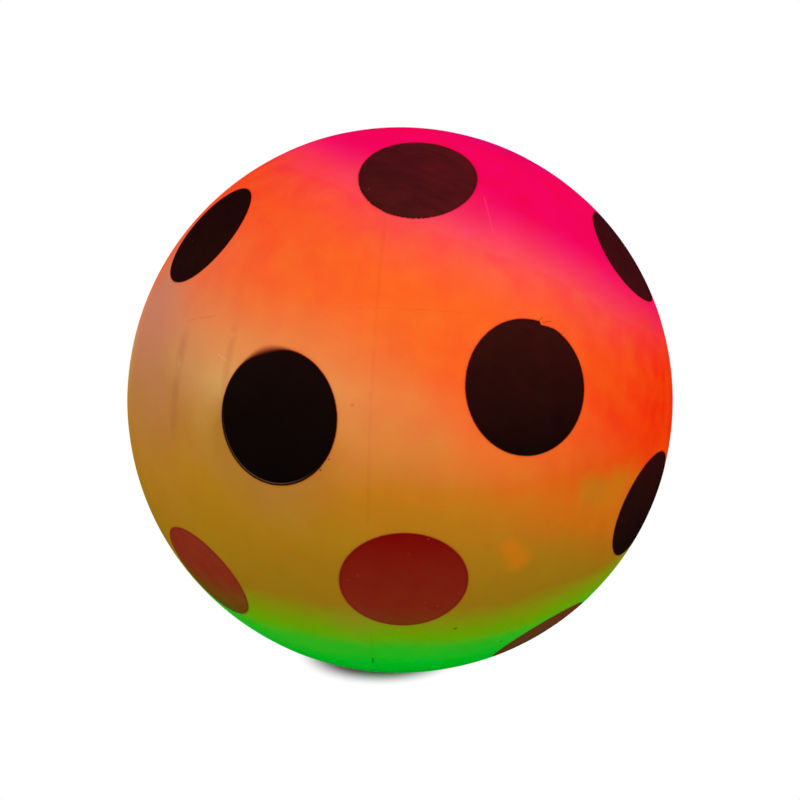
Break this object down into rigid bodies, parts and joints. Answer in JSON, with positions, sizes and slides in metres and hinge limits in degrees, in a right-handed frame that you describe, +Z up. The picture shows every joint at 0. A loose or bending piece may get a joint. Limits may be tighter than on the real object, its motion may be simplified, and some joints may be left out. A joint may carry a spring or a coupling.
{
  "type": "inflatable ball",
  "caption": "Inflatable vinyl play ball with a sprayed rainbow skin, round printed spots and a filling valve closed by a pull-out plug.",
  "frame": {"origin": "centre of the flat that the ball rests on", "axes": "+Z up, -Y towards the side that the picture shows, +Y out of the filling valve"},
  "size_m": [0.2206, 0.2209, 0.2192],
  "materials": {
    "skin_vinyl": "satin soft vinyl, sprayed from pink through orange to green",
    "ink_black": "satin black ink that lets a little of the skin through",
    "ink_red": "satin dark red ink",
    "valve_vinyl": "soft milky vinyl with overspray",
    "plug_plastic": "satin moulded plastic"
  },
  "bodies": {
    "ball": {"ball_skin": "skin_vinyl", "valve_insert": "valve_vinyl", "spot_crown_1": "ink_black", "spot_crown_2": "ink_black", "spot_crown_3": "ink_black", "spot_upper_1": "ink_black", "spot_upper_2": "ink_black", "spot_upper_3": "ink_black", "spot_upper_4": "ink_black", "spot_upper_5": "ink_black", "spot_upper_6": "ink_black", "spot_upper_7": "ink_black", "spot_middle_1": "ink_black", "spot_middle_2": "ink_black", "spot_middle_3": "ink_black", "spot_middle_4": "ink_black", "spot_middle_5": "ink_black", "spot_middle_6": "ink_black", "spot_middle_7": "ink_black", "spot_lower_1": "ink_red", "spot_lower_2": "ink_red", "spot_lower_3": "ink_red", "spot_lower_4": "ink_red", "spot_lower_5": "ink_red", "spot_base_1": "ink_red", "spot_base_2": "ink_red", "spot_base_3": "ink_red", "spot_base_4": "ink_red"},
    "plug": {"valve_plug": "plug_plastic"}
  },
  "joints": [
    {"name": "plug_pull", "type": "slide", "parent": "ball", "child": "plug", "axis": [0, 1, 0], "range_m": [0, 0.03]}
  ]
}
